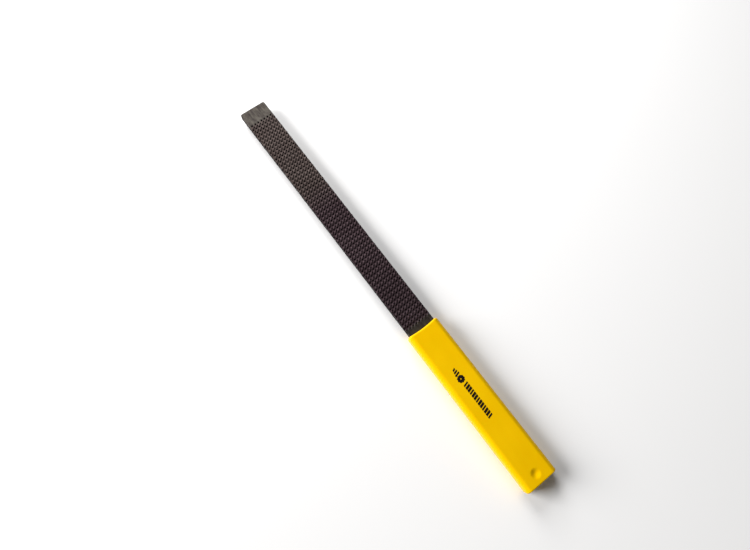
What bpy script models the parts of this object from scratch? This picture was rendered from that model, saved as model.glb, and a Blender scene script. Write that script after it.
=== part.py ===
"""Flat wood rasp with a slip-on vinyl handle.

The steel blank is one flat bar: a blade with parallel sides, then rounded shoulders and a
tapering tang that is hidden in the handle. Separate pointed teeth stand on its rasp side, in
slanting rows. Its file side has a fine cut, whose tooth tips lie in one slightly raised plane.
The handle is a moulded vinyl sleeve, closed and solid at its far end, that grips the tang.
Units are metres.

Frame: +X runs along the blade to its tip, +Y across it, and +Z out of the rasp side. The
origin is in the middle of the whole tool's box, on the plane of the handle's underside.
"""
import math

import bmesh
import bpy
from mathutils import Matrix

COLLECTION = "wood_rasp"
GUIDE_COLLECTION = "wood_rasp_guides"

# Driving dimensions
BLADE_LENGTH = 0.200
BLADE_WIDTH = 0.020
BLADE_THICKNESS = 0.005
HANDLE_LENGTH = 0.1175
HANDLE_WIDTH = 0.0236
HANDLE_THICKNESS = 0.011

# Cuts on the blade's two sides, both between a smooth tip band and a smooth heel band
TIP_BAND = 0.0125
HEEL_BAND = 0.0045
TOOTH_HEIGHT = 0.0005
TOOTH_RADIUS = 0.0009
TOOTH_LEAN = 0.0005
TOOTH_SINK = 0.0002
TOOTH_EDGE_MARGIN = 0.0010
ROW_PITCH = 0.003159
TOOTH_PITCH = 0.002650
ROW_SHIFT = 0.001502
ROW_SLANT = 0.000035
FILE_CUT_HEIGHT = 0.00015
FILE_CUT_MARGIN = 0.0006

# Blade and tang
TIP_CORNER_RADIUS = 0.0012
BLADE_EDGE_BREAK = 0.0003
SHOULDER_DEPTH = 0.007
SHOULDER_RADIUS = 0.002
TANG_ROOT_WIDTH = 0.0145
TANG_END_WIDTH = 0.0110
TANG_END_GAP = 0.0140
TANG_CORNER_RADIUS = 0.0025

# Handle
HANDLE_EDGE_RADIUS = 0.0034
HANDLE_END_ROUND = 0.0009
MOUTH_ARC_RADIUS = 0.075
POCKET_GAP = 0.0003
DIMPLE_FROM_END = 0.0062
DIMPLE_DIAMETER = 0.0090
DIMPLE_DEPTH = 0.0008

# Places that follow from them
TOTAL_LENGTH = BLADE_LENGTH + HANDLE_LENGTH
TIP_X = TOTAL_LENGTH / 2
HANDLE_END_X = -TOTAL_LENGTH / 2
MOUTH_X = HANDLE_END_X + HANDLE_LENGTH
MID_Z = HANDLE_THICKNESS / 2
BLANK_TOP_Z = MID_Z + BLADE_THICKNESS / 2 - TOOTH_HEIGHT
BLANK_BOTTOM_Z = MID_Z - BLADE_THICKNESS / 2 + FILE_CUT_HEIGHT
BLANK_THICKNESS = BLANK_TOP_Z - BLANK_BOTTOM_Z
BLANK_MID_Z = (BLANK_TOP_Z + BLANK_BOTTOM_Z) / 2
CUT_START_X = MOUTH_X + HEEL_BAND
CUT_END_X = TIP_X - TIP_BAND
SHOULDER_X = MOUTH_X - SHOULDER_DEPTH
TANG_END_X = HANDLE_END_X + TANG_END_GAP
TANG_ROOT_X = SHOULDER_X - SHOULDER_RADIUS

# Fineness of the round shapes, and how far a cutter passes through
ARC_STEPS = 6
MOUTH_STEPS = 180
DIMPLE_STEPS = 36
CUTTER_MARGIN = 0.004


def start_clean():
    """Remove every object, then give back the model's and the guides' collections."""
    for obj in list(bpy.data.objects):
        bpy.data.objects.remove(obj)
    collections = []
    for name in (COLLECTION, GUIDE_COLLECTION):
        collection = bpy.data.collections.new(name)
        bpy.context.scene.collection.children.link(collection)
        collections.append(collection)
    return collections


def principled(name, color, roughness, metallic):
    """A plain Principled material."""
    material = bpy.data.materials.new(name)
    material.use_nodes = True
    shader = material.node_tree.nodes["Principled BSDF"]
    shader.inputs["Base Color"].default_value = (*color, 1.0)
    shader.inputs["Roughness"].default_value = roughness
    shader.inputs["Metallic"].default_value = metallic
    return material


def rounded(corners, steps=ARC_STEPS):
    """An outline with arcs at its corners, from a list of (x, y, radius) in order."""
    points = []
    count = len(corners)
    for i, (x, y, radius) in enumerate(corners):
        if radius == 0:
            points.append((x, y))
            continue
        px, py, _ = corners[i - 1]
        nx, ny, _ = corners[(i + 1) % count]
        before = math.atan2(py - y, px - x)
        after = math.atan2(ny - y, nx - x)
        turn = (after - before + math.pi) % (2 * math.pi) - math.pi
        middle = before + turn / 2
        reach = radius / math.sin(abs(turn) / 2)
        centre_x = x + reach * math.cos(middle)
        centre_y = y + reach * math.sin(middle)
        half_sweep = math.copysign(math.pi / 2 - abs(turn) / 2, turn)
        for step in range(steps + 1):
            angle = middle + math.pi + half_sweep * (1 - 2 * step / steps)
            points.append((centre_x + radius * math.cos(angle), centre_y + radius * math.sin(angle)))
    return points


def plate(name, outline, thickness):
    """A closed solid: a flat outline in XY, filled and thickened evenly about z = 0."""
    curve = bpy.data.curves.new(name, "CURVE")
    curve.dimensions = "2D"
    curve.fill_mode = "BOTH"
    curve.extrude = thickness / 2
    spline = curve.splines.new("POLY")
    spline.points.add(len(outline) - 1)
    for point, (x, y) in zip(spline.points, outline):
        point.co = (x, y, 0, 1)
    spline.use_cyclic_u = True
    guide = bpy.data.objects.new(name + "_outline", curve)
    bpy.context.scene.collection.objects.link(guide)
    depsgraph = bpy.context.evaluated_depsgraph_get()
    mesh = bpy.data.meshes.new_from_object(guide.evaluated_get(depsgraph))
    mesh.name = name
    bpy.data.objects.remove(guide)
    bpy.data.curves.remove(curve)
    bm = bmesh.new()
    bm.from_mesh(mesh)
    bmesh.ops.remove_doubles(bm, verts=bm.verts, dist=1e-6)
    bmesh.ops.recalc_face_normals(bm, faces=bm.faces)
    bm.to_mesh(mesh)
    bm.free()
    return bpy.data.objects.new(name, mesh)


def round_edges(obj, width, segments):
    """Round the sharp edges of an object and leave the gentle facets of its arcs."""
    bevel = obj.modifiers.new("edge_round", "BEVEL")
    bevel.width = width
    bevel.segments = segments
    bevel.limit_method = "ANGLE"
    bevel.angle_limit = math.radians(40)


def combine(obj, operation, guide, guides):
    """Cut a guide from an object or join it on. The guide stays in the file as a wire."""
    guides.objects.link(guide)
    guide.hide_render = True
    guide.display_type = "WIRE"
    boolean = obj.modifiers.new(guide.name, "BOOLEAN")
    boolean.operation = operation
    boolean.solver = "EXACT"
    boolean.object = guide


def tang_outline(gap, mouth_end):
    """The tang and its shoulders in plan, grown by gap and open towards mouth_end."""
    half_blade = BLADE_WIDTH / 2 + gap
    half_root = TANG_ROOT_WIDTH / 2 + gap
    half_end = TANG_END_WIDTH / 2 + gap
    upper = [
        (mouth_end, half_blade, 0),
        (SHOULDER_X - gap, half_blade, SHOULDER_RADIUS),
        (TANG_ROOT_X - gap, half_root, SHOULDER_RADIUS),
        (TANG_END_X - gap, half_end, TANG_CORNER_RADIUS),
    ]
    lower = [(x, -y, radius) for x, y, radius in reversed(upper)]
    return upper + lower


def tooth_places():
    """The centres of the teeth, row by row: each row is shifted across from the one before."""
    places = []
    half_width = BLADE_WIDTH / 2 - TOOTH_EDGE_MARGIN
    middle_x = (CUT_START_X + CUT_END_X) / 2
    rows = math.ceil((CUT_END_X - CUT_START_X) / ROW_PITCH)
    across = math.ceil((BLADE_WIDTH + rows * ROW_SHIFT) / TOOTH_PITCH)
    for row in range(-rows // 2, rows // 2 + 1):
        for tooth in range(-across, across + 1):
            x = middle_x + row * ROW_PITCH + tooth * ROW_SLANT
            y = row * ROW_SHIFT - tooth * TOOTH_PITCH
            inside = CUT_START_X + TOOTH_RADIUS < x < CUT_END_X - TOOTH_RADIUS
            if inside and abs(y) < half_width:
                places.append((x, y))
    return places


def make_teeth():
    """All the teeth of the rasp side: three-sided points that lean towards the tip."""
    bm = bmesh.new()
    height = TOOTH_HEIGHT + TOOTH_SINK
    for x, y in tooth_places():
        made = bmesh.ops.create_cone(
            bm, cap_ends=True, segments=3, radius1=TOOTH_RADIUS, radius2=0, depth=height)
        top = max(made["verts"], key=lambda vertex: vertex.co.z)
        bmesh.ops.rotate(bm, verts=made["verts"], matrix=Matrix.Rotation(-math.pi / 2, 3, "Z"))
        top.co.x += TOOTH_LEAN
        bmesh.ops.translate(bm, verts=made["verts"], vec=(x, y, BLANK_TOP_Z - TOOTH_SINK + height / 2))
    mesh = bpy.data.meshes.new("rasp_teeth")
    bm.to_mesh(mesh)
    bm.free()
    return bpy.data.objects.new("rasp_teeth", mesh)


def make_file_cut():
    """The plane of the file side's tooth tips, as a thin pad that overlaps the blank."""
    half_width = BLADE_WIDTH / 2 - FILE_CUT_MARGIN
    corners = [
        (CUT_START_X, -half_width),
        (CUT_END_X, -half_width),
        (CUT_END_X, half_width),
        (CUT_START_X, half_width),
    ]
    pad = plate("file_cut", corners, 2 * FILE_CUT_HEIGHT)
    pad.location.z = BLANK_BOTTOM_Z
    return pad


def make_blade(collection, guides):
    """The steel blank with its teeth: blade, shoulders and tang in one piece."""
    outline = tang_outline(0, TIP_X)
    outline[0] = (TIP_X, BLADE_WIDTH / 2, TIP_CORNER_RADIUS)
    outline[-1] = (TIP_X, -BLADE_WIDTH / 2, TIP_CORNER_RADIUS)
    blade = plate("rasp_blade", rounded(outline), BLANK_THICKNESS)
    collection.objects.link(blade)
    blade.location.z = BLANK_MID_Z
    round_edges(blade, BLADE_EDGE_BREAK, 1)
    blade.data.materials.append(principled("blackened_steel", (0.055, 0.048, 0.046), 0.45, 0.9))
    combine(blade, "UNION", make_teeth(), guides)
    combine(blade, "UNION", make_file_cut(), guides)
    return blade


def make_handle(collection, guides):
    """The vinyl sleeve: a rounded bar with a concave mouth, a tang pocket and two dimples."""
    overlap = MOUTH_ARC_RADIUS - math.sqrt(MOUTH_ARC_RADIUS ** 2 - (HANDLE_WIDTH / 2) ** 2)
    length = HANDLE_LENGTH + overlap + CUTTER_MARGIN
    half_width = HANDLE_WIDTH / 2
    half_height = HANDLE_THICKNESS / 2
    section = [
        (sx * half_height, sy * half_width, HANDLE_EDGE_RADIUS)
        for sx, sy in ((1, 1), (-1, 1), (-1, -1), (1, -1))
    ]
    handle = plate("vinyl_handle", rounded(section), length)
    collection.objects.link(handle)
    handle.rotation_euler.y = math.pi / 2
    handle.location = (HANDLE_END_X + length / 2, 0, MID_Z)
    round_edges(handle, HANDLE_END_ROUND, 3)
    handle.data.materials.append(principled("yellow_vinyl", (0.86, 0.52, 0.004), 0.38, 0.0))
    handle.data.shade_smooth()
    handle.data.set_sharp_from_angle(angle=math.radians(35))

    bpy.ops.mesh.primitive_cylinder_add(
        vertices=MOUTH_STEPS, radius=MOUTH_ARC_RADIUS, depth=HANDLE_THICKNESS + CUTTER_MARGIN)
    mouth = take_active("mouth_cutter")
    mouth.location = (MOUTH_X + MOUTH_ARC_RADIUS, 0, MID_Z)
    combine(handle, "DIFFERENCE", mouth, guides)

    pocket_outline = rounded(tang_outline(POCKET_GAP, MOUTH_X + CUTTER_MARGIN))
    pocket = plate("pocket_cutter", pocket_outline, BLANK_THICKNESS + 2 * POCKET_GAP)
    pocket.location.z = BLANK_MID_Z
    combine(handle, "DIFFERENCE", pocket, guides)

    half_dimple = DIMPLE_DIAMETER / 2
    ball_radius = (half_dimple ** 2 + DIMPLE_DEPTH ** 2) / (2 * DIMPLE_DEPTH)
    for side, name in ((1, "upper_dimple_cutter"), (-1, "lower_dimple_cutter")):
        bpy.ops.mesh.primitive_uv_sphere_add(
            segments=DIMPLE_STEPS, ring_count=DIMPLE_STEPS, radius=ball_radius)
        ball = take_active(name)
        rise = half_height + ball_radius - DIMPLE_DEPTH
        ball.location = (HANDLE_END_X + DIMPLE_FROM_END, 0, MID_Z + side * rise)
        combine(handle, "DIFFERENCE", ball, guides)
    return handle


def take_active(name):
    """Name the object that a primitive operator just made, and unlink it from its collection."""
    obj = bpy.context.active_object
    obj.name = name
    for collection in list(obj.users_collection):
        collection.objects.unlink(obj)
    return obj


def main():
    collection, guides = start_clean()
    make_blade(collection, guides)
    make_handle(collection, guides)


main()
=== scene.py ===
"""Looks of the wood rasp: a steel blade with real cuts on both sides, and its vinyl handle.

Everything is in metres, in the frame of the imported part: +X runs along the blade to its tip,
+Y across it, +Z out of the rasp side.
"""

import math

import bmesh
import bpy
import numpy as np
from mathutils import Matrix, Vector


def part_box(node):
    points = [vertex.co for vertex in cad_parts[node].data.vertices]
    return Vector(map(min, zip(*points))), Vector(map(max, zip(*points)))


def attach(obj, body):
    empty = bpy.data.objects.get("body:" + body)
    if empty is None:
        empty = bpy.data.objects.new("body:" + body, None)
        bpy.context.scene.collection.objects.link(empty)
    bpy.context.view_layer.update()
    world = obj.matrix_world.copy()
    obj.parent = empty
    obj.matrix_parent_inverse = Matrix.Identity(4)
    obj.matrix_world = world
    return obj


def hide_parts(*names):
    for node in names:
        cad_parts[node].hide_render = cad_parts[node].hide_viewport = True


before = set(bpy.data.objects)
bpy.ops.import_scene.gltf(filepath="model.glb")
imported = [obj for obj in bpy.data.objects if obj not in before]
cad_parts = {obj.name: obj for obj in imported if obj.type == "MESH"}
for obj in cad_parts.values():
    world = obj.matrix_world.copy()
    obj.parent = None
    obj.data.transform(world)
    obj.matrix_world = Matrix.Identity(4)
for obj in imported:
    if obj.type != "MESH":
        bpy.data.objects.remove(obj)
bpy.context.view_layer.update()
MM = 0.001

# The blade: its box and the heights of its two cuts are those of its CAD solid
BLADE_LOW, BLADE_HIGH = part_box("rasp_blade")
TIP_X = BLADE_HIGH.x
TANG_END_X = BLADE_LOW.x
HALF_BLADE = BLADE_HIGH.y
CAD_TOOTH_HEIGHT = 0.50 * MM
FILE_CUT_HEIGHT = 0.15 * MM
BLANK_TOP_Z = BLADE_HIGH.z - CAD_TOOTH_HEIGHT
BLANK_BOTTOM_Z = BLADE_LOW.z + FILE_CUT_HEIGHT
TIP_CORNER = 1.2 * MM
EDGE_BREAK = 0.3 * MM
CORNER_STEPS = 6
SHOULDER_DEPTH = 7.0 * MM
SHOULDER_RUN = 2.4 * MM
HALF_TANG_ROOT = 7.25 * MM
HALF_TANG_END = 5.5 * MM
TANG_CORNER = 2.5 * MM

# The handle: its box is that of its CAD solid, but its mouth is set back a little further, and its
# skin is drawn in by INK_THICKNESS, so that the ink stays inside the box
HANDLE_LOW, HANDLE_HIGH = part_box("vinyl_handle")
HANDLE_END_X = HANDLE_LOW.x
HALF_HANDLE = HANDLE_HIGH.y
HALF_THICKNESS = (HANDLE_HIGH.z - HANDLE_LOW.z) / 2
HANDLE_MID_Z = (HANDLE_HIGH.z + HANDLE_LOW.z) / 2
HANDLE_EDGE_RADIUS = 3.4 * MM
MOUTH_ARC_RADIUS = 75 * MM
MOUTH_SAG = MOUTH_ARC_RADIUS - math.sqrt(MOUTH_ARC_RADIUS ** 2 - HALF_HANDLE ** 2)
MOUTH_X = HANDLE_HIGH.x - MOUTH_SAG
SHOULDER_X = MOUTH_X - SHOULDER_DEPTH
MOUTH_SET_BACK = 0.55 * MM
MOUTH_CORNER = 2.4 * MM
MOUTH_CORNER_CUT = 0.35 * MOUTH_CORNER
MOUTH_BLEND = 9 * MM
LIP_RADIUS = 1.1 * MM
END_ROUND = 0.9 * MM
INK_THICKNESS = 0.02 * MM
LIP_GAP = 0.12 * MM
LIP_CHAMFER = 0.15 * MM
POCKET_GAP = 0.25 * MM
POCKET_CORNER = 0.5 * MM
DIMPLE_X = HANDLE_END_X + 6.6 * MM
DIMPLE_Y = 0.4 * MM
DIMPLE_RADIUS = 3.6 * MM
DIMPLE_DEPTH = 0.75 * MM

# The cuts on both sides of the blade: where they run, the rasp's rows, one tooth, the file's cut
CUT_START_X = MOUTH_X + 4.5 * MM
CUT_END_X = TIP_X - 12.5 * MM
ROW_PITCH = 3.159 * MM
TOOTH_PITCH = 2.650 * MM
ROW_SHIFT = 1.502 * MM
ROW_SLANT = 0.035 * MM
FIRST_TOOTH = Vector((49.15 * MM, 0.28 * MM))
TOOTH_TURN = math.radians(-13)
TOOTH_HALF = 0.95 * MM
TOOTH_RISE = 0.34 * MM
TOOTH_RISE_SCATTER = 0.03 * MM
CREST_BOW = 0.20 * MM
CREST_POWER = 2.5
BACK_LENGTH = 1.5 * MM
BACK_END_SHARE = 0.25
FRONT_LENGTH = 0.75 * MM
FRONT_POWER = 1.15
PIT_DEPTH = 0.62 * MM
PIT_DEPTH_SCATTER = 0.06 * MM
PIT_HALF = 0.90 * MM
PIT_START = 0.75 * MM
PIT_FLOOR = 1.72 * MM
PIT_LENGTH = 2.50 * MM
PINCH_HALF = 0.78 * MM
PINCH_SIDE = 1.12 * MM
PINCH_SHARE = 0.75
PLACE_SCATTER_X = 0.07 * MM
PLACE_SCATTER_Y = 0.06 * MM
PAST_SIDE = 0.6 * MM
PAST_HEEL = 0.4 * MM
SHORT_OF_TIP = 1.2 * MM
SHORT_OF_LIMIT = 0.005 * MM
DEEPEST = -0.8 * MM
GRID_MARGIN = 1 * MM
RASP_LINES = 81
FILE_LINES = 17
FILE_PITCH = 0.80 * MM
FILE_DEPTH = 0.24 * MM
FILE_SKEW = math.tan(math.radians(25))
# One file cut as (share of the pitch, share of the height): steep face, then a long back
FILE_PROFILE = ((0.0, 0.0), (0.14, 1.0), (0.40, 0.72), (0.72, 0.28))

# The cut steel is painted paler towards the tip: a painted sheen. The narrow walls get the pits'
# painted shade: for their colour they count as lying WALL_SHADE_PAINT_RELIEF from the blank's face.
SHEEN_PAINT_START_X = 62 * MM
SHEEN_PAINT_RUN = 22 * MM
WALL_SHADE_PAINT_RELIEF = -0.3 * MM

# The printed mark, measured back from the middle of the mouth. SHORT_STROKES holds each short
# stroke's place and half height, and it and the long strokes' places are in millimetres.
PRINT_Y = 0.7 * MM
PRINT_SLANT = 0.45 * MM
SHORT_STROKES = ((33.2, 1.0), (34.9, 1.4), (36.6, 1.8))
SHORT_HALF_LONG = 0.62 * MM
SHORT_Y = PRINT_Y + 0.5 * MM
ROUNDEL_BACK = 40.2 * MM
ROUNDEL_Y = PRINT_Y + 0.4 * MM
ROUNDEL_RADII = (2.3 * MM, 2.75 * MM)
ROUNDEL_NOTCHES = 9
ROUNDEL_HOLE = 0.4 * MM
ROUNDEL_HOLE_STEPS = 32
LONG_STROKES = 13
LONG_STROKES_BACK = 44.6
LONG_STROKE_PITCH = 1.99
LONG_HALF_HIGH = 1.8 * MM
THICK_HALF_LONG = 0.84 * MM
THIN_HALF_LONG = 0.60 * MM


# ---------------------------------------------------------------- mesh helpers

def mesh_object(name, vertices, faces, material, sharp_degrees):
    """A mesh object in the scene with one material, smooth except at its sharp edges."""
    mesh = bpy.data.meshes.new(name)
    mesh.from_pydata([tuple(v) for v in vertices], [], faces)
    mesh.validate()
    mesh.update()
    mesh.materials.append(material)
    mesh.shade_smooth()
    mesh.set_sharp_from_angle(angle=math.radians(sharp_degrees))
    obj = bpy.data.objects.new(name, mesh)
    bpy.context.scene.collection.objects.link(obj)
    return obj


def face_outwards(obj):
    """Turn every face of a closed mesh outwards."""
    bm = bmesh.new()
    bm.from_mesh(obj.data)
    bmesh.ops.recalc_face_normals(bm, faces=bm.faces)
    bm.to_mesh(obj.data)
    bm.free()


def smoothstep(t):
    """0 below 0, 1 above 1 and an even S between."""
    t = np.clip(t, 0, 1)
    return t * t * (3 - 2 * t)


def grid_faces(columns, rows, first):
    """Quads of a grid whose vertices are numbered from first, row by row inside each column."""
    faces = []
    for i in range(columns - 1):
        for j in range(rows - 1):
            a = first + i * rows + j
            faces.append((a, a + rows, a + rows + 1, a + 1))
    return faces


def grid_border(columns, rows, first):
    """The numbers of a grid's border vertices, once round."""
    loop = [first + i * rows for i in range(columns)]
    loop += [first + (columns - 1) * rows + j for j in range(1, rows)]
    loop += [first + i * rows + rows - 1 for i in range(columns - 2, -1, -1)]
    loop += [first + j for j in range(rows - 2, 0, -1)]
    return loop


def outward(points):
    """Unit normals in XY of a closed loop that runs counter-clockwise."""
    ahead = np.roll(points, -1, axis=0) - points
    behind = points - np.roll(points, 1, axis=0)
    normals = np.zeros_like(points)
    for step in (ahead, behind):
        length = np.maximum(np.linalg.norm(step, axis=1, keepdims=True), 1e-9)
        normals += np.stack([step[:, 1], -step[:, 0]], axis=1) / length
    return normals / np.maximum(np.linalg.norm(normals, axis=1, keepdims=True), 1e-9)


def stitch(vertices, upper, lower):
    """Triangles between two closed loops of unlike counts that follow the same outline."""
    def shares(loop):
        points = np.array([vertices[i][:2] for i in loop + loop[:1]])
        run = np.concatenate([[0], np.cumsum(np.linalg.norm(np.diff(points, axis=0), axis=1))])
        return run / run[-1]

    faces = []
    up, low = shares(upper), shares(lower)
    i = j = 0
    while i < len(upper) or j < len(lower):
        a, b = upper[i % len(upper)], lower[j % len(lower)]
        if j == len(lower) or (i < len(upper) and up[i + 1] <= low[j + 1]):
            faces.append((a, b, upper[(i + 1) % len(upper)]))
            i += 1
        else:
            faces.append((a, b, lower[(j + 1) % len(lower)]))
            j += 1
    return faces


# ---------------------------------------------------------------- blade

def half_width(x):
    """Half the blank's width at x, drawn in by the edge break: blade, shoulders and tang."""
    blade = HALF_BLADE - EDGE_BREAK
    along_tang = (SHOULDER_X - x) / (SHOULDER_X - TANG_END_X)
    tang = HALF_TANG_ROOT + (HALF_TANG_END - HALF_TANG_ROOT) * np.clip(along_tang, 0, 1) - EDGE_BREAK
    width = tang + (blade - tang) * smoothstep((x - SHOULDER_X + SHOULDER_RUN) / SHOULDER_RUN)
    for end_x, side, corner, full in (
            (TIP_X, 1, TIP_CORNER, HALF_BLADE), (TANG_END_X, -1, TANG_CORNER, HALF_TANG_END)):
        depth = side * (x - end_x) + corner
        inner = corner - EDGE_BREAK
        rounded = full - corner + np.sqrt(np.maximum(inner ** 2 - np.clip(depth, 0, None) ** 2, 0))
        width = np.where(depth > 0, rounded, width)
    return width


def corner_columns(end_x, side, corner):
    """X places of the columns round a corner, from its start to the end of the blank."""
    angles = np.linspace(0, math.pi / 2, CORNER_STEPS + 1)
    return end_x - side * corner + side * (corner - EDGE_BREAK) * np.sin(angles)


def blank_columns(cut_columns):
    """Every column's x: the tang's end, the tang, the smooth heel, the cut, the tip."""
    parts = [
        corner_columns(TANG_END_X, -1, TANG_CORNER)[::-1],
        np.linspace(TANG_END_X + TANG_CORNER, SHOULDER_X - SHOULDER_RUN, 30)[1:],
        np.linspace(SHOULDER_X - SHOULDER_RUN, SHOULDER_X, 9)[1:],
        np.linspace(SHOULDER_X, cut_columns[0], 24)[1:-1],
        cut_columns,
        np.linspace(cut_columns[-1], TIP_X - TIP_CORNER, 20)[1:-1],
        corner_columns(TIP_X, 1, TIP_CORNER),
    ]
    return np.concatenate(parts)


def tooth_relief(along, across, height, depth):
    """Height of one tooth, less the pit before it and the pinch beside it.

    along and across are measured from the middle of the tooth's crest.
    """
    u = along * math.cos(TOOTH_TURN) + across * math.sin(TOOTH_TURN)
    v = across * math.cos(TOOTH_TURN) - along * math.sin(TOOTH_TURN)
    ahead = u + CREST_BOW * (v / TOOTH_HALF) ** 2
    rise = np.clip(1 + ahead / BACK_LENGTH, 0, 1)
    half = TOOTH_HALF * (BACK_END_SHARE + (1 - BACK_END_SHARE) * rise)
    crest = height * np.clip(1 - np.abs(v / half) ** CREST_POWER, 0, 1)
    fall = np.clip(1 - ahead / FRONT_LENGTH, 0, 1) ** FRONT_POWER
    tooth = crest * np.where(ahead < 0, rise, fall)
    bowl = np.clip(1 - (v / PIT_HALF) ** 2, 0, 1) ** 2
    dip = smoothstep((ahead - PIT_START) / (PIT_FLOOR - PIT_START))
    dip *= smoothstep((PIT_LENGTH - ahead) / (PIT_LENGTH - PIT_FLOOR))
    pinch = np.clip(1 - (np.hypot(along, across + PINCH_SIDE) / PINCH_HALF) ** 2, 0, 1) ** 2
    return tooth - depth * np.maximum(bowl * dip, PINCH_SHARE * pinch)


def tooth_places():
    """Each tooth's x, y, height and pit depth, with the small scatter of punched work."""
    scatter = np.random.default_rng(7)
    reach = int((CUT_END_X - CUT_START_X) / ROW_PITCH) + 2
    across = int((HALF_BLADE * 2 + reach * ROW_SHIFT) / TOOTH_PITCH) + 2
    for row in range(-reach, reach + 1):
        for tooth in range(-across, across + 1):
            x = FIRST_TOOTH.x + row * ROW_PITCH + tooth * ROW_SLANT
            y = FIRST_TOOTH.y + row * ROW_SHIFT - tooth * TOOTH_PITCH
            if abs(y) > HALF_BLADE + PAST_SIDE:
                continue
            if not CUT_START_X - PAST_HEEL < x < CUT_END_X - SHORT_OF_TIP:
                continue
            dx, dy, dh, dd = scatter.uniform(-1, 1, 4)
            height = TOOTH_RISE + dh * TOOTH_RISE_SCATTER
            depth = PIT_DEPTH + dd * PIT_DEPTH_SCATTER
            yield x + dx * PLACE_SCATTER_X, y + dy * PLACE_SCATTER_Y, height, depth


def rasp_side_grid():
    """X, Y, Z and relief arrays of the toothed side, finest at the teeth's crests and pits."""
    steps = MM * np.array([
        -0.15, 0, 0.15, 0.3, 0.5, 0.7, 0.9, 1.12, 1.35, 1.6, 1.87, 2.14, 2.41, 2.7])
    rows = np.arange(math.ceil((CUT_END_X - CUT_START_X) / ROW_PITCH) + 1)
    start = FIRST_TOOTH.x + ROW_PITCH * math.floor((CUT_START_X - FIRST_TOOTH.x) / ROW_PITCH)
    cut = (start + rows[:, None] * ROW_PITCH + steps[None, :]).ravel()
    cut = cut[(cut > CUT_START_X - GRID_MARGIN) & (cut < CUT_END_X + GRID_MARGIN)]
    columns = blank_columns(cut)
    shares = np.linspace(-1, 1, RASP_LINES)
    x = np.repeat(columns[:, None], len(shares), axis=1)
    y = half_width(x) * shares[None, :]
    relief = np.zeros_like(x)
    reach = PIT_LENGTH + CREST_BOW
    for tooth_x, tooth_y, height, depth in tooth_places():
        i0, i1 = np.searchsorted(columns, (tooth_x - reach, tooth_x + reach))
        u, v = x[i0:i1] - tooth_x, y[i0:i1] - tooth_y
        relief[i0:i1] += tooth_relief(u, v, height, depth)
    relief = np.clip(relief, DEEPEST, CAD_TOOTH_HEIGHT - SHORT_OF_LIMIT)
    return x, y, BLANK_TOP_Z + relief, relief


def file_side_grid():
    """X, Y, Z and relief arrays of the fine side: straight slanting cuts, one after another."""
    lean = FILE_SKEW * HALF_BLADE
    count = int((CUT_END_X - CUT_START_X - 2 * lean) / FILE_PITCH)
    first = (CUT_START_X + CUT_END_X - count * FILE_PITCH) / 2
    cut = [first + (n + share) * FILE_PITCH for n in range(count) for share, _ in FILE_PROFILE]
    cut_heights = [rise for _ in range(count) for _, rise in FILE_PROFILE]
    columns = blank_columns(np.array(cut))
    heights = np.zeros(len(columns))
    skews = np.zeros(len(columns))
    start = int(np.searchsorted(columns, cut[0] - 1e-9))
    heights[start:start + len(cut)] = cut_heights
    skews[start:start + len(cut)] = 1
    before = np.clip((columns - MOUTH_X) / (cut[0] - MOUTH_X), 0, 1)
    after = np.clip((TIP_X - TIP_CORNER - columns) / (TIP_X - TIP_CORNER - cut[-1]), 0, 1)
    skews = np.where(columns < cut[0], before, np.where(columns > cut[-1], after, skews))
    shares = np.linspace(-1, 1, FILE_LINES)
    base = np.repeat(columns[:, None], len(shares), axis=1)
    y = half_width(base) * shares[None, :]
    x = base + skews[:, None] * FILE_SKEW * y
    in_cut = np.zeros(len(columns), bool)
    in_cut[start:start + len(cut)] = True
    relief = np.where(in_cut, FILE_CUT_HEIGHT - FILE_DEPTH * (1 - heights), 0)
    relief = np.repeat(relief[:, None], len(shares), axis=1)
    return x, y, BLANK_BOTTOM_Z - relief, relief


def make_blade(material):
    """One closed mesh: the toothed side, the file side, rounded edges and the narrow walls."""
    vertices, faces, reliefs, walls, rings = [], [], [], [], []
    for make_grid, side in ((rasp_side_grid, 1), (file_side_grid, -1)):
        x, y, z, relief = make_grid()
        columns, rows = x.shape
        first = len(vertices)
        vertices += list(zip(x.ravel(), y.ravel(), z.ravel()))
        reliefs += list(relief.ravel())
        walls += [0] * relief.size
        faces += grid_faces(columns, rows, first)
        loop = grid_border(columns, rows, first)
        border = np.array([vertices[i] for i in loop])
        normals = outward(border[:, :2])
        for angle, share in ((math.pi / 4, 0), (math.pi / 2, 1)):
            ring = border.copy()
            ring[:, :2] += normals * EDGE_BREAK * math.sin(angle)
            ring[:, 2] -= side * EDGE_BREAK * (1 - math.cos(angle))
            start = len(vertices)
            vertices += [tuple(v) for v in ring]
            # The narrow walls take the pits' painted shade through this relief.
            reliefs += [reliefs[i] * (1 - share) + WALL_SHADE_PAINT_RELIEF * share for i in loop]
            walls += [share] * len(loop)
            numbers = list(range(start, start + len(loop)))
            for k in range(len(loop)):
                n = (k + 1) % len(loop)
                faces.append((loop[k], loop[n], numbers[n], numbers[k]))
            loop = numbers
        rings.append(loop)
    faces += stitch(vertices, *rings)
    obj = mesh_object("blade_steel", vertices, faces, material, sharp_degrees=27)
    relief = obj.data.attributes.new("relief", "FLOAT", "POINT")
    relief.data.foreach_set("value", np.array(reliefs, np.float32) / CAD_TOOTH_HEIGHT)
    x = np.array([v[0] for v in vertices])
    inside = np.minimum(x - CUT_START_X, CUT_END_X - x) / MM
    cut = obj.data.attributes.new("cut", "FLOAT", "POINT")
    cut.data.foreach_set("value", np.maximum(smoothstep(inside), walls).astype(np.float32))
    face_outwards(obj)
    return obj


# ---------------------------------------------------------------- handle

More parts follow.
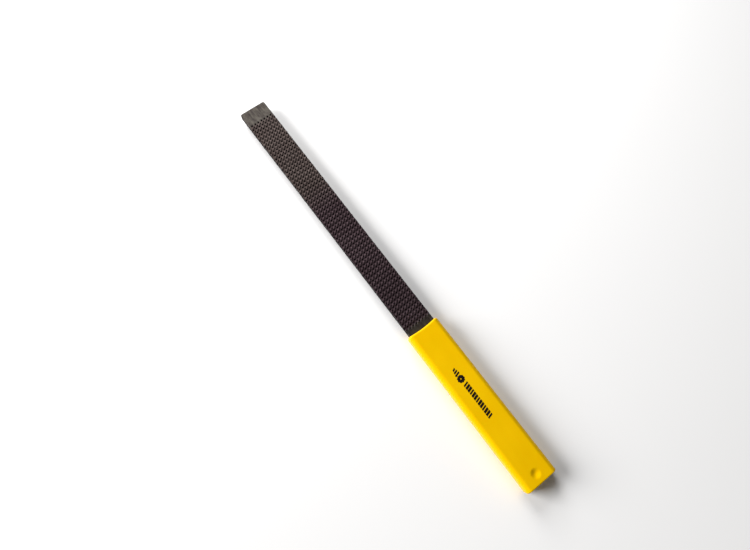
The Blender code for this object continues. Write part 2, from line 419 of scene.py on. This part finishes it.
def rounded_section(half_y, half_z, radius):
    """Points (y, z) round a rounded rectangle, always the same count, corner by corner."""
    flat, arc, side = 48, 10, 12
    points = []
    corners = [
        (half_y - radius, half_z - radius, 0),
        (-(half_y - radius), half_z - radius, math.pi / 2),
        (-(half_y - radius), -(half_z - radius), math.pi),
        (half_y - radius, -(half_z - radius), 3 * math.pi / 2),
    ]
    for k, (cy, cz, start) in enumerate(corners):
        for step in range(arc + 1):
            angle = start + math.pi / 2 * step / arc
            points.append((cy + radius * math.cos(angle), cz + radius * math.sin(angle)))
        ny, nz, n_start = corners[(k + 1) % 4]
        here = points[-1]
        there = (ny + radius * math.cos(n_start), nz + radius * math.sin(n_start))
        between = flat if k % 2 == 0 else side
        for step in range(1, between):
            t = step / between
            points.append((here[0] + (there[0] - here[0]) * t, here[1] + (there[1] - here[1]) * t))
    return np.array(points)


def mouth_offset(y):
    """How far forward of MOUTH_X the mouth stands at y: a hollow arc, eased at its corners."""
    corner = np.clip((np.abs(y) - HALF_HANDLE) / MOUTH_CORNER + 1, 0, 1)
    arc = MOUTH_ARC_RADIUS - np.sqrt(MOUTH_ARC_RADIUS ** 2 - y ** 2)
    return arc - MOUTH_CORNER_CUT * corner ** 2 - MOUTH_SET_BACK


def curved_ring(x, section):
    """Each point's x in a ring: flat across along the handle, and curved like the mouth near it."""
    near_mouth = smoothstep((x - (MOUTH_X - MOUTH_BLEND)) / MOUTH_BLEND)
    return x + mouth_offset(section[:, 0]) * near_mouth


def dimple(x, y):
    """Depth of the soft dimple near the handle's closed end."""
    r = np.sqrt((x - DIMPLE_X) ** 2 + (y - DIMPLE_Y) ** 2) / DIMPLE_RADIUS
    return DIMPLE_DEPTH * np.clip(1 - r ** 2, 0, 1) ** 2


def outer_ring(x, inset):
    """A ring of the handle's outside at x, drawn in by inset for the rounded ends."""
    half_y, half_z = HALF_HANDLE - INK_THICKNESS - inset, HALF_THICKNESS - INK_THICKNESS - inset
    section = rounded_section(half_y, half_z, HANDLE_EDGE_RADIUS - inset)
    ring_x = curved_ring(x, section)
    ring_z = section[:, 1].copy()
    flat = np.abs(ring_z) > half_z - 0.2 * MM
    ring_z -= np.sign(ring_z) * dimple(ring_x, section[:, 0]) * flat
    return np.stack([ring_x, section[:, 0], HANDLE_MID_Z + ring_z], axis=1)


def inner_ring(x, gap):
    """A ring of the tang pocket at x, with a gap all round the blank."""
    half_y = float(half_width(np.array([x]))[0]) + EDGE_BREAK + gap
    half_z = (BLANK_TOP_Z - BLANK_BOTTOM_Z) / 2 + gap
    section = rounded_section(half_y, half_z, POCKET_CORNER)
    mid_z = (BLANK_TOP_Z + BLANK_BOTTOM_Z) / 2
    return np.stack([curved_ring(x, section), section[:, 0], mid_z + section[:, 1]], axis=1)


def end_rings():
    """The closed end: a cap drawn in to its middle, then the rounded edge."""
    cap = outer_ring(HANDLE_END_X, END_ROUND)
    middle = cap.mean(axis=0)
    rings = [middle + (cap - middle) * share for share in (0.12, 0.45, 0.8)]
    steps = 5
    for step in range(steps + 1):
        angle = math.pi / 2 * (1 - step / steps)
        x = HANDLE_END_X + END_ROUND * (1 - math.sin(angle))
        rings.append(outer_ring(x, END_ROUND * (1 - math.cos(angle))))
    return rings


def body_rings():
    """The outside: fine round the dimple, coarse along the body, then the rolled lip."""
    body_start = HANDLE_END_X + END_ROUND
    fine_end = DIMPLE_X + DIMPLE_RADIUS + 1 * MM
    blend_start = MOUTH_X - 10 * MM
    lip_start = MOUTH_X - LIP_RADIUS
    rings = []
    for start, end, count in (
            (body_start, fine_end, 36), (fine_end, blend_start, 46), (blend_start, lip_start, 16)):
        rings += [outer_ring(x, 0) for x in np.linspace(start, end, count)[1:]]
    steps = 6
    for step in range(1, steps + 1):
        angle = math.pi / 2 * step / steps
        x = lip_start + LIP_RADIUS * math.sin(angle)
        rings.append(outer_ring(x, LIP_RADIUS * (1 - math.cos(angle))))
    return rings


def pocket_rings():
    """The inside: the mouth's narrow opening, past the shoulders, and down to the tang's end."""
    tang_corner_x = TANG_END_X + TANG_CORNER
    rings = [
        inner_ring(MOUTH_X - 0.02 * MM, LIP_GAP + LIP_CHAMFER),
        inner_ring(MOUTH_X - 0.20 * MM, LIP_GAP),
    ]
    stations = [MOUTH_X - 1.5 * MM, MOUTH_X - 4 * MM, SHOULDER_X + 0.3 * MM]
    stations += list(SHOULDER_X - np.linspace(0.15, 1, 6) * SHOULDER_RUN)
    stations += list(np.linspace(SHOULDER_X - 2 * SHOULDER_RUN, tang_corner_x, 12))
    rings += [inner_ring(x, POCKET_GAP) for x in stations]
    last = inner_ring(tang_corner_x, POCKET_GAP)
    last[:, 0] = TANG_END_X - POCKET_GAP
    return rings + [last]


def make_handle(material):
    """One closed mesh: rounded end, long body, rolled lip, and the pocket for the tang."""
    rings = end_rings() + body_rings() + pocket_rings()
    count = len(rings[0])
    vertices = np.concatenate(rings)
    faces = []
    for r in range(len(rings) - 1):
        a, b = r * count, (r + 1) * count
        for k in range(count):
            n = (k + 1) % count
            faces.append((a + k, a + n, b + n, b + k))
    tail = (len(rings) - 1) * count
    faces.append(tuple(range(count)))
    faces.append(tuple(range(tail, tail + count)))
    obj = mesh_object("handle_vinyl", vertices, faces, material, sharp_degrees=45)
    face_outwards(obj)
    return obj


# ---------------------------------------------------------------- print

def add_loop(curve, points):
    """One closed flat outline in a curve."""
    spline = curve.splines.new("POLY")
    spline.points.add(len(points) - 1)
    for point, (x, y) in zip(spline.points, points):
        point.co = (x, y, 0, 1)
    spline.use_cyclic_u = True


def add_stroke(curve, x, half_long, half_high, y=PRINT_Y):
    """One slanting stroke of the print."""
    add_loop(curve, [
        (x - half_long + PRINT_SLANT, y - half_high), (x + half_long + PRINT_SLANT, y - half_high),
        (x + half_long - PRINT_SLANT, y + half_high), (x - half_long - PRINT_SLANT, y + half_high)])


def add_round(curve, centre, inner, outer, steps):
    """A closed outline round centre that goes to and fro between two radii."""
    points = []
    for k in range(steps):
        radius = outer if k % 2 else inner
        angle = 2 * math.pi * k / steps
        points.append((centre[0] + radius * math.cos(angle), centre[1] + radius * math.sin(angle)))
    add_loop(curve, points)


def make_print(material):
    """A generic printed mark: short strokes, a notched roundel, then a row of longer strokes."""
    curve = bpy.data.curves.new("handle_print", "CURVE")
    curve.dimensions = "2D"
    curve.fill_mode = "BOTH"
    curve.extrude = INK_THICKNESS / 2
    for back, half_high in SHORT_STROKES:
        add_stroke(curve, MOUTH_X - back * MM, SHORT_HALF_LONG, half_high * MM, y=SHORT_Y)
    centre = (MOUTH_X - ROUNDEL_BACK, ROUNDEL_Y)
    add_round(curve, centre, *ROUNDEL_RADII, ROUNDEL_NOTCHES * 2)
    add_round(curve, centre, ROUNDEL_HOLE, ROUNDEL_HOLE, ROUNDEL_HOLE_STEPS)
    for k in range(LONG_STROKES):
        x = MOUTH_X - (LONG_STROKES_BACK + LONG_STROKE_PITCH * k) * MM
        add_stroke(curve, x, THICK_HALF_LONG if k % 3 else THIN_HALF_LONG, LONG_HALF_HIGH)

    source = bpy.data.objects.new("handle_print_outline", curve)
    bpy.context.scene.collection.objects.link(source)
    mesh = bpy.data.meshes.new_from_object(
        source.evaluated_get(bpy.context.evaluated_depsgraph_get()))
    bpy.data.objects.remove(source)
    bm = bmesh.new()
    bm.from_mesh(mesh)
    bmesh.ops.remove_doubles(bm, verts=bm.verts, dist=1e-6)
    bmesh.ops.recalc_face_normals(bm, faces=bm.faces)
    bmesh.ops.translate(bm, verts=bm.verts, vec=(0, 0, HANDLE_HIGH.z - INK_THICKNESS / 2))
    bm.to_mesh(mesh)
    bm.free()
    mesh.name = "handle_print"
    mesh.materials.clear()
    mesh.materials.append(material)
    obj = bpy.data.objects.new("handle_print", mesh)
    bpy.context.scene.collection.objects.link(obj)
    return obj


# ---------------------------------------------------------------- materials

class Nodes:
    """A short way to write a node material."""

    def __init__(self, name):
        self.material = bpy.data.materials.new(name)
        self.material.use_nodes = True
        self.tree = self.material.node_tree
        self.shader = self.tree.nodes["Principled BSDF"]

    def add(self, kind, links=None, values=None, **settings):
        """A node with its settings, its linked inputs and its plain input values."""
        node = self.tree.nodes.new(kind)
        for key, value in settings.items():
            setattr(node, key, value)
        for key, value in (values or {}).items():
            node.inputs[key].default_value = value
        for key, source in (links or {}).items():
            self.tree.links.new(source, node.inputs[key])
        return node

    def position(self, scale):
        """The place on the object, multiplied by scale on each axis."""
        place = self.add("ShaderNodeTexCoord").outputs["Object"]
        return self.add(
            "ShaderNodeMapping", {"Vector": place}, {"Scale": scale}).outputs["Vector"]

    def noise(self, scale, detail):
        """Noise about 0.5, with scale features to the metre on each axis."""
        return self.add(
            "ShaderNodeTexNoise", {"Vector": self.position(scale)},
            {"Scale": 1.0, "Detail": detail, "Roughness": 0.5}).outputs["Fac"]

    def ramp(self, source, low, high, start, end):
        """source from low to high mapped to start to end, and held beyond them."""
        return self.add(
            "ShaderNodeMapRange", {"Value": source},
            {"From Min": low, "From Max": high, "To Min": start, "To Max": end}).outputs["Result"]

    def mix(self, factor, a, b):
        """a where factor is 0 and b where it is 1."""
        node = self.add("ShaderNodeMix", data_type="RGBA")
        for slot, value in ((0, factor), (6, a), (7, b)):
            if isinstance(value, bpy.types.NodeSocket):
                self.tree.links.new(value, node.inputs[slot])
            else:
                node.inputs[slot].default_value = (*value, 1)
        return node.outputs[2]

    def bump(self, height, strength, distance, below=None):
        """The normal after a bump of height, on top of another bump if one is given."""
        links = {"Height": height}
        if below is not None:
            links["Normal"] = below
        node = self.add("ShaderNodeBump", links, {"Strength": strength, "Distance": distance})
        return node.outputs["Normal"]

    def set(self, **values):
        """Constants go straight on the shader, and sockets are linked to it."""
        for key, value in values.items():
            socket = self.shader.inputs[key.replace("_", " ")]
            if isinstance(value, bpy.types.NodeSocket):
                self.tree.links.new(value, socket)
            else:
                socket.default_value = value


def steel_material():
    """Dark oxide steel: streaked where it is ground, darker in the cut, with painted shade black in
    its pits and on its narrow walls, crests painted paler as wear and painted highlight, and a
    painted sheen that makes the cut paler towards the tip.

    The attribute relief is the height over the blank, in CAD tooth heights; on the narrow walls it
    is set deep so that they take the pits' painted shade. The attribute cut is 1 in a cut and on the
    narrow walls.
    """
    m = Nodes("dark_oxide_steel")
    relief = m.add("ShaderNodeAttribute", attribute_name="relief").outputs["Fac"]
    mottle = m.noise((90, 90, 90), detail=4)
    patches = m.noise((260, 380, 380), detail=4)
    grain = m.noise((2500, 2500, 2500), detail=2)
    streaks = m.noise((60, 4200, 4200), detail=2)
    scuffs = m.noise((160, 1500, 1500), detail=3)
    cut = m.add("ShaderNodeAttribute", attribute_name="cut").outputs["Fac"]
    shade = m.ramp(mottle, 0.35, 0.68, 0, 1)

    ground = m.mix(shade, (0.038, 0.034, 0.029), (0.062, 0.057, 0.049))
    ground = m.mix(m.ramp(patches, 0.40, 0.62, 0, 0.85), ground, (0.016, 0.012, 0.014))
    ground = m.mix(m.ramp(scuffs, 0.48, 0.72, 0, 0.6), ground, (0.100, 0.090, 0.076))
    ground = m.mix(m.ramp(streaks, 0.35, 0.7, 0, 0.4), ground, (0.083, 0.073, 0.061))
    ground = m.mix(m.ramp(grain, 0.3, 0.75, 0, 0.3), ground, (0.079, 0.068, 0.058))

    dark = m.mix(shade, (0.0345, 0.0215, 0.025), (0.048, 0.0315, 0.036))
    # Painted sheen: the cut steel is painted from dark to pale towards the tip.
    pale = m.mix(shade, (0.050, 0.037, 0.033), (0.066, 0.051, 0.046))
    along = m.add("ShaderNodeSeparateXYZ", {0: m.position((1, 1, 1))}).outputs["X"]
    sheen_paint_share = m.ramp(along, SHEEN_PAINT_START_X, SHEEN_PAINT_START_X + SHEEN_PAINT_RUN, 0, 1)
    steel = m.mix(cut, ground, m.mix(sheen_paint_share, dark, pale))
    # Painted shade: the pits, the pinches between the teeth and the narrow walls are painted near
    # black.
    steel = m.mix(m.ramp(relief, -0.5, -0.1, 1, 0), steel, (0.007, 0.004, 0.005))
    # The crests are painted paler: partly worn steel, partly painted highlight.
    steel = m.mix(m.ramp(relief, 0.1, 0.5, 0, 0.18), steel, (0.115, 0.088, 0.094))
    m.set(Base_Color=steel, Metallic=m.ramp(cut, 0, 1, 0.75, 0.65))
    m.set(Specular_IOR_Level=0.3, Specular_Tint=(0.35, 0.31, 0.32, 1))
    smooth = m.ramp(patches, 0.3, 0.7, 0.44, 0.56)
    rougher = m.ramp(cut, 0, 1, 0, 0.04)
    m.set(Roughness=m.add("ShaderNodeMath", {0: smooth, 1: rougher}).outputs[0])
    fine = m.bump(grain, 0.25, 0.03 * MM)
    m.set(Normal=m.bump(streaks, 0.35, 0.02 * MM, below=fine))
    return m.material


def vinyl_material():
    """Soft yellow vinyl: satin, very slightly uneven, a little light going through it."""
    m = Nodes("yellow_vinyl")
    cloud = m.noise((30, 45, 45), detail=2)
    fine = m.noise((1500, 1500, 1500), detail=2)
    wave = m.noise((55, 110, 110), detail=1)
    colour = m.mix(m.ramp(cloud, 0.35, 0.65, 0, 1), (0.82, 0.472, 0.0), (0.86, 0.507, 0.001))
    colour = m.mix(m.ramp(fine, 0.45, 0.8, 0, 0.25), colour, (0.86, 0.53, 0.003))
    m.set(Base_Color=colour, Metallic=0.0, Specular_IOR_Level=0.16)
    m.set(Specular_Tint=(1.0, 1.0, 0.15, 1))
    m.set(Subsurface_Weight=0.06, Subsurface_Scale=1 * MM, Subsurface_Radius=(1.0, 0.45, 0.08))
    m.set(Roughness=m.ramp(fine, 0.3, 0.7, 0.33, 0.42))
    skin = m.bump(fine, 0.12, 0.04 * MM)
    m.set(Normal=m.bump(wave, 0.35, 0.4 * MM, below=skin))
    return m.material


def ink_material():
    """Black printing ink, thinner in specks."""
    m = Nodes("print_ink")
    specks = m.noise((1900, 1900, 1900), detail=3)
    colour = m.mix(m.ramp(specks, 0.58, 0.78, 0, 0.5), (0.009, 0.005, 0.003), (0.12, 0.06, 0.005))
    m.set(Base_Color=colour, Roughness=m.ramp(specks, 0.3, 0.7, 0.45, 0.6), Specular_IOR_Level=0.15)
    return m.material


def floor_material():
    """A plain table, almost white."""
    m = Nodes("pale_table")
    cloud = m.noise((3, 3, 3), detail=2)
    m.set(Base_Color=m.mix(cloud, (0.955, 0.95, 0.945), (0.97, 0.965, 0.962)), Roughness=0.7)
    return m.material


# ---------------------------------------------------------------- camera, floor and lights

def add_camera():
    """The photo's view: from high above the handle's mouth and a little to its +Y side."""
    camera = bpy.data.cameras.new("camera")
    camera.sensor_width = 36
    camera.lens = 23.125
    camera.clip_start = 10 * MM
    obj = bpy.data.objects.new("camera", camera)
    obj.location = Vector((-51.5, 64.7, 318.8)) * MM
    obj.rotation_euler = [math.radians(a) for a in (14.824, -2.693, -127.027)]
    bpy.context.scene.collection.objects.link(obj)
    bpy.context.scene.camera = obj


def add_floor(material):
    """A large plane that the handle's underside rests on."""
    mesh = bpy.data.meshes.new("floor")
    half = 3.0
    gap = 0.05 * MM
    low = HANDLE_LOW.z - gap
    corners = [(-half, -half, low), (half, -half, low), (half, half, low), (-half, half, low)]
    mesh.from_pydata(corners, [], [(0, 1, 2, 3)])
    mesh.materials.append(material)
    floor = bpy.data.objects.new("floor", mesh)
    bpy.context.scene.collection.objects.link(floor)


def add_area_light(name, direction, distance, size, power):
    """A square soft light, aimed at the middle of the tool."""
    light = bpy.data.lights.new(name, "AREA")
    light.shape = "SQUARE"
    light.size = size
    light.energy = power
    obj = bpy.data.objects.new(name, light)
    towards = direction.normalized()
    obj.location = towards * distance
    obj.rotation_euler = towards.to_track_quat("Z", "Y").to_euler()
    bpy.context.scene.collection.objects.link(obj)


def add_lights():
    """A large key low on the photo's left, a small light past the tip, and a dim even sky."""
    left = Vector((0.60, 0.80, 0))
    up = Vector((0.81, -0.59, 0))
    key = left + 0.1 * up + Vector((0, 0, 0.45))
    sheen = Vector((0.696, -0.14, 0.413))
    add_area_light("key", key, distance=3.6, size=2.0, power=218)
    add_area_light("sheen", sheen, distance=0.82, size=0.4, power=6)
    world = bpy.data.worlds.new("world")
    world.use_nodes = True
    background = world.node_tree.nodes["Background"]
    background.inputs["Color"].default_value = (1.0, 0.985, 0.975, 1)
    background.inputs["Strength"].default_value = 0.10
    bpy.context.scene.world = world
    bpy.context.scene.view_settings.view_transform = "Standard"


# ---------------------------------------------------------------- put together

def main():
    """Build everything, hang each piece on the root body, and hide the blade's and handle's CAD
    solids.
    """
    add_camera()
    add_lights()
    add_floor(floor_material())

    blade = make_blade(steel_material())
    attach(blade, "root")
    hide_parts("rasp_blade")

    handle = make_handle(vinyl_material())
    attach(handle, "root")
    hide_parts("vinyl_handle")

    mark = make_print(ink_material())
    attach(mark, "root")


main()
